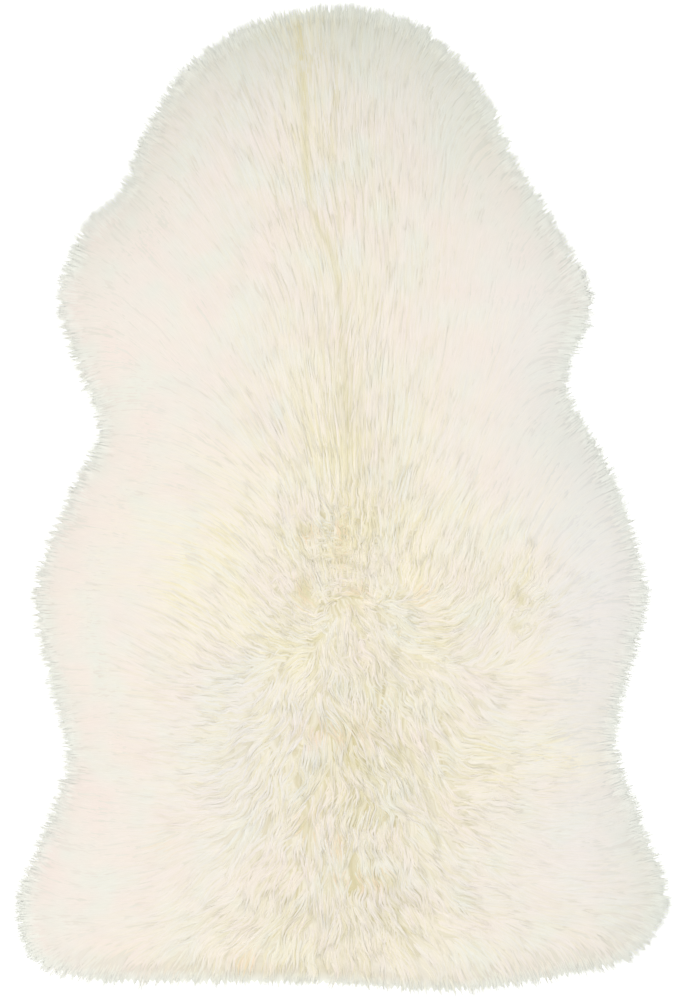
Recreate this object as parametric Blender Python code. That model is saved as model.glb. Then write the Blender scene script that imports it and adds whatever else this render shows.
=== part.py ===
"""A sheepskin rug: one tanned skin with its own long wool, lying flat on the floor.

The rug is a one-piece thing, so it is one closed solid. Its underside is the flat skin. Over the skin lies a
lumpy slab of wool, parted along the backbone, and two rows of pointed wool locks stand out of the slab's rim:
the lower row lies level on the floor and the upper row droops over it.

Metres, +Z up. +Y runs from the tail to the neck. The origin is the middle of the rug's box, on the floor.
"""

import math
import random
from types import SimpleNamespace

import bmesh
import bpy
from mathutils import Vector, noise
from mathutils.geometry import delaunay_2d_cdt, intersect_point_line


def table(columns, *rows):
    """A table's rows, each with its values under the names of the columns."""
    return [SimpleNamespace(**dict(zip(columns.split(), row))) for row in rows]


# ---------------------------------------------------------------------------------------------------------
# Driving dimensions, in metres
# ---------------------------------------------------------------------------------------------------------

# How far the wool reaches all round, anticlockwise seen from above: a row for each turn of the outline.
OUTLINE = table(
    "place across along",
    ("neck tip", -0.003, 0.480),
    ("neck left", -0.090, 0.463),
    ("nape left", -0.158, 0.415),
    ("nape side left", -0.197, 0.349),
    ("collar left", -0.219, 0.298),
    ("shoulder rise left", -0.253, 0.264),
    ("shoulder left", -0.277, 0.194),
    ("shoulder fall left", -0.261, 0.132),
    ("waist left", -0.239, 0.066),
    ("belly rise left", -0.266, 0.010),
    ("belly left", -0.301, -0.089),
    ("belly fall left", -0.284, -0.186),
    ("flank left", -0.270, -0.246),
    ("rump rise left", -0.292, -0.320),
    ("rump left", -0.317, -0.389),
    ("corner left", -0.297, -0.448),
    ("hem left", -0.250, -0.467),
    ("hem middle left", -0.138, -0.471),
    ("tail", -0.003, -0.473),
    ("hem middle right", 0.104, -0.479),
    ("hem right", 0.210, -0.465),
    ("corner right", 0.280, -0.444),
    ("rump right", 0.316, -0.389),
    ("rump rise right", 0.289, -0.301),
    ("flank right", 0.268, -0.240),
    ("belly fall right", 0.285, -0.145),
    ("belly right", 0.296, -0.087),
    ("belly rise right", 0.266, 0.023),
    ("waist right", 0.220, 0.114),
    ("shoulder fall right", 0.231, 0.150),
    ("shoulder right", 0.243, 0.191),
    ("shoulder rise right", 0.212, 0.262),
    ("nape side right", 0.169, 0.331),
    ("nape right", 0.140, 0.395),
    ("neck right", 0.079, 0.459),
)

# The parting along the backbone, from the neck down: where it runs, its half width and its depth.
PARTING = table(
    "place across along half_width depth",
    ("neck", -0.041, 0.420, 0.008, 0.004),
    ("nape", -0.034, 0.349, 0.009, 0.009),
    ("collar", -0.034, 0.300, 0.009, 0.009),
    ("withers", -0.012, 0.235, 0.010, 0.008),
    ("shoulders", 0.002, 0.165, 0.016, 0.006),
    ("back", -0.003, 0.110, 0.018, 0.006),
    ("loins", 0.001, 0.046, 0.014, 0.006),
    ("croup", 0.003, -0.040, 0.016, 0.004),
)

# The slab's rim, from the floor up: how far each ring lies inside the wool's reach, its height, and how many
# lock widths it is turned round the rug, so that the upper locks lie over the gaps of the lower ones.
RIM = table(
    "ring inset height turn",
    ("skin edge", 0.047, 0.000, 0.0),
    ("lower roots", 0.042, 0.014, 0.0),
    ("upper roots foot", 0.038, 0.020, 0.5),
    ("upper roots top", 0.044, 0.034, 0.5),
    ("crown foot", 0.058, 0.041, 0.5),
)
LOWER_BAND, UPPER_BAND = 0, 2  # the bands between two rings that the locks grow out of

# A lock's sections, from its root out: how far along the lock each lies, its share of the root's width and
# of its thickness, and how high its underside is in each of the two rows.
LOCK = table(
    "section out width thickness lower_z upper_z",
    ("swell", 0.36, 0.90, 0.84, 0.0000, 0.0182),
    ("taper", 0.72, 0.57, 0.48, 0.0000, 0.0132),
    ("tip", 1.00, 0.00, 0.00, 0.0012, 0.0092),
)

LOCK_WIDTH = 0.0224  # of a lock at the rim, where the wool clumps
LOCK_SHORTEST = 0.86  # shares of the way from a lock's root to the wool's reach
LOCK_LONGEST = 1.05
LOCK_BEND = 0.30  # how far a lock's tip may bend to a side, in lock widths
LOWER_TIP_INSET = 0.000  # the lower locks end on the wool's reach
UPPER_TIP_INSET = 0.007  # the upper locks end a little inside it
LOCK_FAN = 0.4  # how much the locks fan out from the backbone, rather than stand square to the rim
LOCK_FAN_SPREAD = 0.62  # the part of the rug's length over which that fan starts
SWAY = 0.55  # how far the locks are combed sideways, in lock widths
SWAY_WAVES = 5  # how often the combing changes side, round the rug

PILE_HEIGHT = 0.049  # of the wool over the middle of the skin, as it lies
CROWN_RUN = 0.085  # from the crown's foot in to the full height
TUFT_STEP = 0.0138  # between the crown's points
TUFT_SHIFT = 0.2  # how far each is moved off its even place, in steps
TUFT_CLEAR = 0.7  # how near it may come to the crown's foot and to the parting's own points, in steps
BANK = 1.5  # from the parting's bed to its banks, in its half widths
TUFT_LENGTH = 0.110  # of a lump of wool, along the lay
TUFT_WIDTH = 0.042  # of a lump of wool, across the lay
TUFT_RISE_EDGE = 0.004  # how far lumps rise out of the creases near the rim, where the wool is combed smooth
TUFT_RISE_MIDDLE = 0.013  # and over the croup, where it is curly
CREASE_DEPTH = 0.25  # the creases' share of a lump's rise that lies below the even height
CURLY_PLACE = Vector((0.010, -0.170))  # the middle of the curly wool
CURLY_REACH = 0.260  # from there to where the wool lies smooth
FAN_ACROSS = 2.2  # the wool's lay turns out from the backbone at this rate
FAN_ALONG = 0.45  # and to the neck and the tail at this one
FAN_MIDDLE = -0.178  # where along the rug the lay turns from the neck to the tail

CURVE_STEPS = 24  # points of the smooth curve between two rows of a table
WOOL_COLOR = (0.863, 0.815, 0.716, 1.0)  # warm natural white, linear
WOOL_ROUGHNESS = 0.9
SEED = 7


# ---------------------------------------------------------------------------------------------------------
# Curves
# ---------------------------------------------------------------------------------------------------------


def place_of(row):
    """Where a table's row is on the rug, seen from above."""
    return Vector((row.across, row.along))


def smooth_closed(corners):
    """A smooth closed curve through the corners, with its bends spread by the corners' distances."""
    curve = []
    for i in range(len(corners)):
        near = [corners[(i + k) % len(corners)] for k in (-1, 0, 1, 2)]
        knots = [0.0]
        for a, b in zip(near, near[1:]):
            knots.append(knots[-1] + math.sqrt((b - a).length))
        for step in range(CURVE_STEPS):
            at = knots[1] + (knots[2] - knots[1]) * step / CURVE_STEPS
            level = near
            for reach in (1, 2, 3):
                level = [
                    level[k].lerp(level[k + 1], (at - low) / (high - low))
                    for k, (low, high) in enumerate(knot_pairs(knots, reach))
                ]
            curve.append(level[0])
    return curve


def knot_pairs(knots, reach):
    """The knots between which each blend of this level runs, for a curve with four corners in play."""
    if reach == 1:
        return [(knots[0], knots[1]), (knots[1], knots[2]), (knots[2], knots[3])]
    if reach == 2:
        return [(knots[0], knots[2]), (knots[1], knots[3])]
    return [(knots[1], knots[2])]


class Reach:
    """The closed line that the wool reaches, measured along its length."""

    def __init__(self, corners):
        self.line = smooth_closed(corners)
        self.along = [0.0]
        for a, b in zip(self.line, self.line[1:] + self.line[:1]):
            self.along.append(self.along[-1] + (b - a).length)
        self.length = self.along[-1]

    def point(self, distance):
        """The point this far along the line."""
        distance %= self.length
        low, high = 0, len(self.line)
        while high - low > 1:
            middle = (low + high) // 2
            low, high = (middle, high) if self.along[middle] <= distance else (low, middle)
        share = (distance - self.along[low]) / (self.along[low + 1] - self.along[low])
        return self.line[low].lerp(self.line[(low + 1) % len(self.line)], share)

    def inward(self, distance):
        """The direction into the rug there, eased over three locks so that neighbours run alike."""
        eased = 1.5 * LOCK_WIDTH
        run = self.point(distance + eased) - self.point(distance - eased)
        square = Vector((-run.y, run.x)).normalized()
        here = self.point(distance)
        backbone = Vector((0.0, LOCK_FAN_SPREAD * here.y))
        return square.lerp((backbone - here).normalized(), LOCK_FAN).normalized()

    def inside(self, distance, inset):
        """The point this far inside the line."""
        return self.point(distance) + self.inward(distance) * inset


def parting_at(point):
    """How much the parting lowers the wool at a point, in metres, and the share that it is parted."""
    lowered, parted = 0.0, 0.0
    for upper, lower in zip(PARTING, PARTING[1:]):
        start, end = place_of(upper), place_of(lower)
        along = min(max(intersect_point_line(point, start, end)[1], 0.0), 1.0)
        half_width = upper.half_width + (lower.half_width - upper.half_width) * along
        depth = upper.depth + (lower.depth - upper.depth) * along
        gap = (point - start.lerp(end, along)).length / half_width
        share = math.exp(-gap * gap)
        lowered, parted = max(lowered, depth * share), max(parted, share)
    return lowered, parted


def parting_points():
    """Points along the parting's bed and its two banks, for the crown to follow."""
    points = []
    for upper, lower in zip(PARTING, PARTING[1:]):
        start, end = place_of(upper), place_of(lower)
        run = end - start
        bank = Vector((-run.y, run.x)).normalized() * BANK * upper.half_width
        steps = max(1, round(run.length / TUFT_STEP))
        for step in range(steps):
            bed = start.lerp(end, step / steps)
            points += [bed, bed + bank, bed - bank]
    return points


# ---------------------------------------------------------------------------------------------------------
# The wool's upper side
# ---------------------------------------------------------------------------------------------------------


def lay(point):
    """The direction in which the wool is combed: out from the backbone, and more to the tail at the tail."""
    fan = Vector((FAN_ACROSS * point.x, FAN_ALONG * (point.y - FAN_MIDDLE)))
    return fan.normalized() if fan.length else Vector((0.0, 1.0))


def ease(share):
    """A smooth rise from 0 to 1."""
    share = min(max(share, 0.0), 1.0)
    return share * share * (3 - 2 * share)


def crown_height(point, from_rim):
    """The wool's height over the floor at a point this far inside the crown's foot."""
    foot = RIM[-1].height
    rise = ease(from_rim / CROWN_RUN)
    curly = 1 - ease((point - CURLY_PLACE).length / CURLY_REACH)
    run = lay(point)
    combed = Vector((point.dot(run) / TUFT_LENGTH, point.cross(run) / TUFT_WIDTH, 0.0))
    curled = Vector((point.x / TUFT_WIDTH, point.y / TUFT_WIDTH, 0.5))
    lump = (1 - curly) * abs(noise.noise(combed)) + curly * abs(noise.noise(curled))
    lump_rise = TUFT_RISE_EDGE + (TUFT_RISE_MIDDLE - TUFT_RISE_EDGE) * max(rise / 2, curly)
    lowered, parted = parting_at(point)
    lumps = lump_rise * (2 * lump - CREASE_DEPTH) * ease(3 * from_rim / CROWN_RUN)
    return foot + (PILE_HEIGHT - foot) * rise + lumps * (1 - parted) - lowered


def distance_to_ring(point, ring):
    """How far a point lies from a closed ring of points."""
    best = math.inf
    for a, b in zip(ring, ring[1:] + ring[:1]):
        run = b - a
        share = min(max((point - a).dot(run) / run.length_squared, 0.0), 1.0)
        best = min(best, (point - a.lerp(b, share)).length)
    return best


def is_inside(point, ring):
    """Whether a point lies within a closed ring of points."""
    inside = False
    for a, b in zip(ring, ring[1:] + ring[:1]):
        if (a.y > point.y) != (b.y > point.y):
            if point.x < a.x + (b.x - a.x) * (point.y - a.y) / (b.y - a.y):
                inside = not inside
    return inside


def crown_points(ring):
    """The crown's points within its foot ring: the parting's own, and rows of staggered ones between."""
    clear = TUFT_CLEAR * TUFT_STEP

    def fits(point):
        return is_inside(point, ring) and distance_to_ring(point, ring) > clear

    parting = [point for point in parting_points() if fits(point)]
    points = list(parting)
    draw = random.Random(SEED)
    row_step = TUFT_STEP * math.sqrt(3) / 2
    low = Vector((min(p.x for p in ring), min(p.y for p in ring)))
    high = Vector((max(p.x for p in ring), max(p.y for p in ring)))
    for row in range(int((high.y - low.y) / row_step) + 1):
        for place in range(int((high.x - low.x) / TUFT_STEP) + 1):
            even = Vector(((place + row % 2 / 2) * TUFT_STEP, row * row_step))
            shift = Vector((draw.uniform(-1, 1), draw.uniform(-1, 1))) * TUFT_SHIFT * TUFT_STEP
            point = low + even + shift
            if fits(point) and all((point - p).length > clear for p in parting):
                points.append(point)
    return points


# ---------------------------------------------------------------------------------------------------------
# The solid
# ---------------------------------------------------------------------------------------------------------


def add_rim(bm, reach, count):
    """The slab's rim: a ring of points for each row of its table, lofted. Returns the rings and each band."""
    rings = []
    for row in RIM:
        ring = []
        for i in range(count):
            flat = reach.inside((i + row.turn) * reach.length / count, row.inset)
            ring.append(bm.verts.new((flat.x, flat.y, row.height)))
        rings.append(ring)
    bands = []
    for low, high in zip(rings, rings[1:]):
        band = []
        for i in range(count):
            after = (i + 1) % count
            band.append(bm.faces.new((low[i], low[after], high[after], high[i])))
        bands.append(band)
    return rings, bands


def add_crown(bm, ring):
    """The wool's upper side, over the rim's highest ring."""
    flat_ring = [Vector((v.co.x, v.co.y)) for v in ring]
    inner = crown_points(flat_ring)
    edges = [(i, (i + 1) % len(ring)) for i in range(len(ring))]
    inside_only = 1
    points, _, faces, origins, _, _ = delaunay_2d_cdt(flat_ring + inner, edges, [], inside_only, 1e-6)
    verts = []
    for point, origin in zip(points, origins):
        if origin and origin[0] < len(ring):
            verts.append(ring[origin[0]])
            continue
        height = crown_height(point, distance_to_ring(point, flat_ring))
        verts.append(bm.verts.new((point.x, point.y, height)))
    for face in faces:
        bm.faces.new([verts[k] for k in face])


def grow_lock(bm, root, tips, row, length, bend):
    """Grows a four-sided lock out of a face of the rim, by extruding it towards the gap between two points."""
    corners = [v.co.copy() for v in root.verts]
    left, right = (corners[0] + corners[3]) / 2, (corners[1] + corners[2]) / 2
    thickness = corners[3].z - corners[0].z
    face = root
    for section in LOCK:
        out = section.out * length
        lean = (tips[1] - tips[0]) * bend * out * out
        sides = left.lerp(tips[0], out) + lean, right.lerp(tips[1], out) + lean
        middle = (sides[0] + sides[1]) / 2
        underside = section.lower_z if row == LOWER_BAND else section.upper_z
        before = [v.co.copy() for v in face.verts]
        face = bmesh.ops.extrude_discrete_faces(bm, faces=[face])["faces"][0]
        for vert in face.verts:
            corner = min(range(4), key=lambda k: (before[k] - vert.co).length)
            flat = middle.lerp(sides[0] if corner in (0, 3) else sides[1], section.width)
            height = underside + (0 if corner in (0, 1) else thickness * section.thickness)
            vert.co = (flat.x, flat.y, height)
    bmesh.ops.pointmerge(bm, verts=list(face.verts), merge_co=face.verts[0].co)


def add_locks(bm, reach, bands, row, tip_inset):
    """One row of locks, grown out of one band of the rim."""
    draw = random.Random(SEED + row)
    count = len(bands[row])
    for i, root in enumerate(bands[row]):
        tips = []
        for end in (i + RIM[row].turn, i + RIM[row].turn + 1):
            sway = SWAY * math.sin(2 * math.pi * SWAY_WAVES * end / count)
            flat = reach.inside((end + sway) * reach.length / count, tip_inset)
            tips.append(Vector((flat.x, flat.y, 0.0)))
        length = draw.uniform(LOCK_SHORTEST, LOCK_LONGEST)
        bend = draw.uniform(-LOCK_BEND, LOCK_BEND)
        grow_lock(bm, root, tips, row, length, bend)


def make_sheepskin(collection):
    """The whole rug as one closed mesh."""
    reach = Reach([place_of(row) for row in OUTLINE])
    bm = bmesh.new()
    rings, bands = add_rim(bm, reach, round(reach.length / LOCK_WIDTH))
    bm.faces.new(list(reversed(rings[0])))
    add_crown(bm, rings[-1])
    add_locks(bm, reach, bands, LOWER_BAND, LOWER_TIP_INSET)
    add_locks(bm, reach, bands, UPPER_BAND, UPPER_TIP_INSET)
    bmesh.ops.recalc_face_normals(bm, faces=bm.faces)
    low = [min(v.co[k] for v in bm.verts) for k in range(3)]
    high = [max(v.co[k] for v in bm.verts) for k in range(3)]
    middle = Vector(((low[0] + high[0]) / 2, (low[1] + high[1]) / 2, low[2]))
    bmesh.ops.translate(bm, verts=bm.verts, vec=-middle)
    mesh = bpy.data.meshes.new("sheepskin")
    bm.to_mesh(mesh)
    bm.free()
    mesh.shade_smooth()
    mesh.set_sharp_from_angle(angle=math.radians(60))
    rug = bpy.data.objects.new("sheepskin", mesh)
    collection.objects.link(rug)
    return rug


def wool_material():
    """Natural white wool: matt and warm."""
    material = bpy.data.materials.new("natural white wool")
    material.use_nodes = True
    shader = material.node_tree.nodes["Principled BSDF"]
    shader.inputs["Base Color"].default_value = WOOL_COLOR
    shader.inputs["Roughness"].default_value = WOOL_ROUGHNESS
    shader.inputs["Metallic"].default_value = 0.0
    return material


def main():
    """Clears the scene and builds the rug."""
    for old in list(bpy.data.objects):
        bpy.data.objects.remove(old, do_unlink=True)
    collection = bpy.data.collections.new("sheepskin rug")
    bpy.context.scene.collection.children.link(collection)
    rug = make_sheepskin(collection)
    rug.data.materials.append(wool_material())


main()
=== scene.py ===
# %% [markdown]
# # A sheepskin rug
# A sheepskin is one tanned hide with its own wool still on it. Seen from above there is nothing but wool: many
# thousand fine fibres that stick together in flat, pointed locks, combed out from the backbone, and curly over the
# croup where the coat turns. The hide shows only if the rug is lifted.
#
# The plan is the one a wig maker would follow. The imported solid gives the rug's form. The hide is laid on the
# floor, a dense bed of wool goes over it, and then the locks are set into the bed row by row, each one along the
# direction in which the coat lies at that place.

# %% The frame and the tools
import math

import bmesh
import bpy
import numpy as np
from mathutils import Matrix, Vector
from mathutils.bvhtree import BVHTree
from mathutils.kdtree import KDTree


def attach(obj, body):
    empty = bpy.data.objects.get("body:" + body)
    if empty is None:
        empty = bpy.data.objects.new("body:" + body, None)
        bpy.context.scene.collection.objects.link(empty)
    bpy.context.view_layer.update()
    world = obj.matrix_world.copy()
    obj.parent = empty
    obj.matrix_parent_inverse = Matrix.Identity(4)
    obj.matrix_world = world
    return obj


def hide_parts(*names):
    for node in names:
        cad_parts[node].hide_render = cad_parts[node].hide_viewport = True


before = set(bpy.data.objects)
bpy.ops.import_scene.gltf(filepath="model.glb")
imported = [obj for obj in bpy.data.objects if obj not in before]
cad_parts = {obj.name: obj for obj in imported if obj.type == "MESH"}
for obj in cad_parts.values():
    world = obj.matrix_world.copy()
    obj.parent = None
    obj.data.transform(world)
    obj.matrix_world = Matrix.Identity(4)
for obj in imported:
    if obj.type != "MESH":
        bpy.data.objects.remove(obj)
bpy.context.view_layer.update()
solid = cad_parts["sheepskin"]
draw = np.random.default_rng(11)

# %% [markdown]
# ## The camera
# The rug is looked at from straight above, through a long lens, so the neck and the tail show at one scale. The
# camera comes first, because everything after it is judged through it. What it takes in is given as a real length
# on the floor, and the lens follows from that and from its height.

# %% The camera
FRAME_LENGTH = 0.9677  # of the floor that the view's long side takes in, in metres
CAMERA_HEIGHT = 3.4
SENSOR = 0.036
CAMERA_PLACE = (-0.0010, 0.0003)

lens = bpy.data.cameras.new("overhead camera")
lens.sensor_width = SENSOR * 1000
lens.lens = SENSOR * 1000 * CAMERA_HEIGHT / FRAME_LENGTH
camera = bpy.data.objects.new("overhead camera", lens)
camera.location = (*CAMERA_PLACE, CAMERA_HEIGHT)
bpy.context.scene.collection.objects.link(camera)
bpy.context.scene.camera = camera
print("focal length", round(lens.lens, 1), "mm")

# %% [markdown]
# ## How far the wool reaches
# The hide keeps the animal's own outline: a round neck at the top, two shoulders, a waist, the belly and the broad
# rump. The wool reaches a little beyond the hide all round. The outline is one smooth closed curve through a few
# turns, the same ones that the solid has, so that the wool ends where the solid ends.

# %% The outline
SHIFT = np.array((0.0014, -0.0002))  # from the outline's own origin to the middle of the rug's box
OUTLINE = (  # across and along the rug, in millimetres
    (-3, 480), (-90, 463), (-158, 415), (-197, 349), (-219, 298),  # neck and nape
    (-253, 264), (-277, 194), (-261, 132), (-239, 66), (-266, 10),  # shoulder and waist
    (-301, -89), (-284, -186), (-270, -246), (-292, -320), (-317, -389),  # belly, rump
    (-297, -448), (-250, -467), (-138, -471), (-3, -473), (104, -479),  # hem and tail
    (210, -465), (280, -444), (316, -389), (289, -301), (268, -240),  # hem, rump, flank
    (285, -145), (296, -87), (266, 23), (220, 114), (231, 150),  # belly and waist
    (243, 191), (212, 262), (169, 331), (140, 395), (79, 459),  # shoulder and nape
)  # fmt: skip
CURVE_STEPS = 48


def smooth_closed(corners):
    """A smooth closed curve in metres through corners in millimetres, its bends spread by their distances."""
    corners = np.array(corners) / 1000 + SHIFT
    curve = []
    for i in range(len(corners)):
        near = [corners[(i + k) % len(corners)] for k in (-1, 0, 1, 2)]
        knots = np.cumsum([0.0] + [math.sqrt(np.linalg.norm(b - a)) for a, b in zip(near, near[1:])])
        at = np.linspace(knots[1], knots[2], CURVE_STEPS, endpoint=False)[:, None]
        level = near
        spans = ((knots[:3], knots[1:]), (knots[[0, 1]], knots[[2, 3]]), (knots[[1]], knots[[2]]))
        for lows, highs in spans:
            shares = [(at - low) / (high - low) for low, high in zip(lows, highs)]
            level = [a + (b - a) * share for a, b, share in zip(level, level[1:], shares)]
        curve.append(level[0])
    return np.concatenate(curve)


outline = smooth_closed(OUTLINE)
way_round = float(np.linalg.norm(outline - np.roll(outline, 1, 0), axis=1).sum())
print("outline", len(outline), "points,", round(way_round, 3), "m round")

# %% [markdown]
# ## Charts of the rug
# A lock of wool needs to know, wherever it grows, how far the rim is, how high the wool stands and which way it
# is combed. Working that out for a million points one by one would be slow, so each answer is drawn once as a
# chart over the floor, an even grid of values, and then read between the grid's points with numpy.

# %% A chart and how it is read
CHART_STEP = 0.003
CHART_LOW = np.array((-0.375, -0.534))
CHART_SIZE = (251, 357)
LAST_CELL = np.array(CHART_SIZE) - 1.001  # just inside the end of the grid

chart_x, chart_y = np.meshgrid(
    CHART_LOW[0] + CHART_STEP * np.arange(CHART_SIZE[0]),
    CHART_LOW[1] + CHART_STEP * np.arange(CHART_SIZE[1]),
    indexing="ij",
)


def read(chart, points):
    """A chart's values at points on the floor, blended between the four nearest of its grid."""
    place = np.clip((points - CHART_LOW) / CHART_STEP, 0, LAST_CELL)
    cell = place.astype(int)
    x, y = cell[..., 0], cell[..., 1]
    across, along = (place - cell)[..., 0], (place - cell)[..., 1]
    near = chart[x, y] * (1 - across) + chart[x + 1, y] * across
    far = chart[x, y + 1] * (1 - across) + chart[x + 1, y + 1] * across
    return near * (1 - along) + far * along


SOFTENING = {"rim": 6, "height": 3, "coat": 40, "lay": 8, "fanning": 4, "smooth wool": 25}  # how many times


def softened(chart, times):
    """A chart with its sharp steps smoothed out, each value blended with its neighbours this many times."""
    for _ in range(times):
        for axis in (0, 1):
            padded = np.concatenate([chart.take([0], axis), chart, chart.take([-1], axis)], axis)
            count = chart.shape[axis]
            low, high = padded.take(range(count), axis), padded.take(range(2, count + 2), axis)
            chart = 0.25 * low + 0.5 * chart + 0.25 * high
    return chart


def ease(share):
    """A smooth rise from 0 to 1."""
    share = np.clip(share, 0.0, 1.0)
    return share * share * (3 - 2 * share)


# %% How far inside the rim each place lies
rim_tree = KDTree(len(outline))
for number, (x, y) in enumerate(outline):
    rim_tree.insert((x, y, 0.0), number)
rim_tree.balance()
nearest = np.array([rim_tree.find((x, y, 0.0))[1] for x, y in zip(chart_x.ravel(), chart_y.ravel())])
run = (np.roll(outline, -1, 0) - np.roll(outline, 1, 0))[nearest]
gap = np.stack([chart_x.ravel(), chart_y.ravel()], 1) - outline[nearest]
side = np.sign(run[:, 0] * gap[:, 1] - run[:, 1] * gap[:, 0])
inset_chart = (side * np.linalg.norm(gap, axis=1)).reshape(CHART_SIZE)
smooth_inset = softened(inset_chart, SOFTENING["rim"])
out_x, out_y = (-g for g in np.gradient(smooth_inset, CHART_STEP))
print("widest inset", round(float(inset_chart.max()), 3), "m")

# %% [markdown]
# ## How high the wool stands
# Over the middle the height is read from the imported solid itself, by dropping a ray on it from above at each point
# of the chart. Towards the rim the solid breaks up into its pointed locks, so there the height follows the rim's
# own profile instead: it rises from the floor at the tips to the crown's foot.

# %% The height chart
RIM_PROFILE = (  # how far inside the rim, and how high the wool stands there
    (-0.004, 0.0020), (0.000, 0.0040), (0.006, 0.0085), (0.014, 0.0150), (0.025, 0.0230),
    (0.038, 0.0310), (0.048, 0.0365), (0.058, 0.0410),
)  # fmt: skip
HAND_OVER = (0.050, 0.066)  # the height passes from the profile to the solid between these insets
RAY_INSET = 0.03  # the solid is asked for its height only this far inside the rim
COAT_LEAN = (0.5, 0.35)  # how far the coat's light follows its slope, and the slope at which that eases off

tree = BVHTree.FromObject(solid, bpy.context.evaluated_depsgraph_get())
dropped = np.zeros(CHART_SIZE)
for i in range(CHART_SIZE[0]):
    for j in range(CHART_SIZE[1]):
        if inset_chart[i, j] > RAY_INSET:
            hit = tree.ray_cast(Vector((chart_x[i, j], chart_y[i, j], 1.0)), Vector((0, 0, -1)))[0]
            dropped[i, j] = hit.z if hit else 0.0
profile = np.interp(inset_chart, *zip(*RIM_PROFILE))
share = ease((inset_chart - HAND_OVER[0]) / (HAND_OVER[1] - HAND_OVER[0]))
height_chart = softened(profile * (1 - share) + dropped * share, SOFTENING["height"])
level_chart = softened(height_chart, SOFTENING["coat"])
slope_x, slope_y = np.gradient(level_chart, CHART_STEP)
lean = COAT_LEAN[0] / np.sqrt(1 + (np.hypot(slope_x, slope_y) / COAT_LEAN[1]) ** 2)
coat_normal = (-lean * slope_x, -lean * slope_y, np.ones(CHART_SIZE))
lay_x, lay_y = (-slope for slope in np.gradient(softened(height_chart, SOFTENING["lay"]), CHART_STEP))
print("wool stands", round(float(height_chart.max()) * 1000, 1), "mm high at most")

# %% [markdown]
# ## Which way the coat lies
# On the live animal the coat runs from the backbone down the sides, and a comb keeps it so. Each band below goes
# across the rug at one place along it, from the neck to the tail, and says where the wool's tips point there, in
# degrees from the rug's right side, anticlockwise. Between them the directions blend smoothly.

# %% The comb
COMB = (  # along the rug, then pairs of across the rug and direction, in millimetres and degrees
    (450, ((-80, 112), (-3, 90), (80, 72))),
    (385, ((-160, 112), (-95, 117), (-40, 97), (5, 88), (60, 84), (125, 72))),
    (310, ((-185, 125), (-130, 121), (-85, 113), (-35, 102), (10, 96), (60, 86), (150, 74))),
    (230, ((-240, 142), (-175, 132), (-115, 127), (-68, 115), (-20, 98), (30, 90), (90, 85), (155, 76),
        (215, 64))),
    (160, ((-255, 158), (-195, 136), (-140, 123), (-90, 110), (-40, 95), (10, 84), (65, 83), (125, 78),
        (180, 70), (225, 48))),
    (85, ((-235, 178), (-175, 170), (-135, 144), (-95, 123), (-50, 108), (0, 90), (55, 82), (105, 75),
        (150, 62), (200, 50))),
    (15, ((-255, 174), (-195, 168), (-140, 160), (-98, 148), (-60, 118), (-22, 101), (16, 85), (55, 84),
        (94, 62), (150, 62), (210, 62), (255, 46))),
    (-58, ((-270, 180), (-190, 172), (-140, 170), (-100, 132), (-55, 118), (-12, 118), (20, 80), (55, 88),
        (105, 72), (170, 72), (230, 48), (275, 15))),
    (-125, ((-270, 180), (-190, 156), (-140, 142), (-100, 138), (-45, 160), (5, -60), (55, -36), (95, 20),
        (140, 70), (175, 50), (215, 6), (270, 3))),
    (-190, ((-260, 182), (-190, 173), (-140, 167), (-100, 178), (-52, -112), (-12, -84), (28, -58), (75, -70),
        (125, -45), (170, 8), (230, 4))),
    (-255, ((-260, 180), (-190, 175), (-140, 176), (-92, -140), (-52, -102), (-5, -90), (45, -62), (75, -28),
        (130, -3), (210, 2))),
    (-290, ((-270, 180), (-190, 160), (-140, 158), (-95, -126), (-58, -107), (-20, -92), (18, -95), (55, -70),
        (95, -40), (135, -6), (210, 4), (270, 2))),
    (-328, ((-275, 182), (-215, 184), (-168, -158), (-128, -150), (-90, -130), (-50, -105), (-12, -98),
        (25, -88), (65, -66), (104, -38), (145, -6), (230, 0))),
    (-368, ((-275, 182), (-215, 186), (-168, -154), (-128, -138), (-90, -118), (-42, -108), (8, -94), (55, -64),
        (95, -50), (133, -20), (190, -12), (250, -2))),
    (-416, ((-255, 184), (-185, 188), (-120, -158), (-60, -124), (-3, -92), (55, -62), (105, -27), (170, -15),
        (250, -8))),
)  # fmt: skip
COMB_BLEND = 0.024  # how far a direction is felt, in metres
RIM_TURN = (0.075, 0.008)  # from the first inset out to the second, the wool turns square to the rim
RIM_TURN_SHARE = 0.75
FELT_FAR = 1e-4  # how weakly a direction is still felt far away

comb_x, comb_y = np.zeros(CHART_SIZE), np.zeros(CHART_SIZE)
for along, band in COMB:
    for across, heading in band:
        apart = (chart_x - across / 1000 - SHIFT[0]) ** 2 + (chart_y - along / 1000 - SHIFT[1]) ** 2
        felt = np.exp(-apart / (2 * COMB_BLEND**2)) + FELT_FAR / (1 + apart / COMB_BLEND**2)
        comb_x += felt * math.cos(math.radians(heading))
        comb_y += felt * math.sin(math.radians(heading))


def unit(x, y):
    """Two charts made into a direction of length one."""
    length = np.maximum(np.hypot(x, y), 1e-9)
    return x / length, y / length


comb_x, comb_y = unit(comb_x, comb_y)
out_x, out_y = unit(out_x, out_y)
turn = RIM_TURN_SHARE * ease((RIM_TURN[0] - inset_chart) / (RIM_TURN[0] - RIM_TURN[1]))
comb_x, comb_y = unit(comb_x * (1 - turn) + out_x * turn, comb_y * (1 - turn) + out_y * turn)
print("combed in", sum(len(band) for _, band in COMB), "places")

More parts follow.
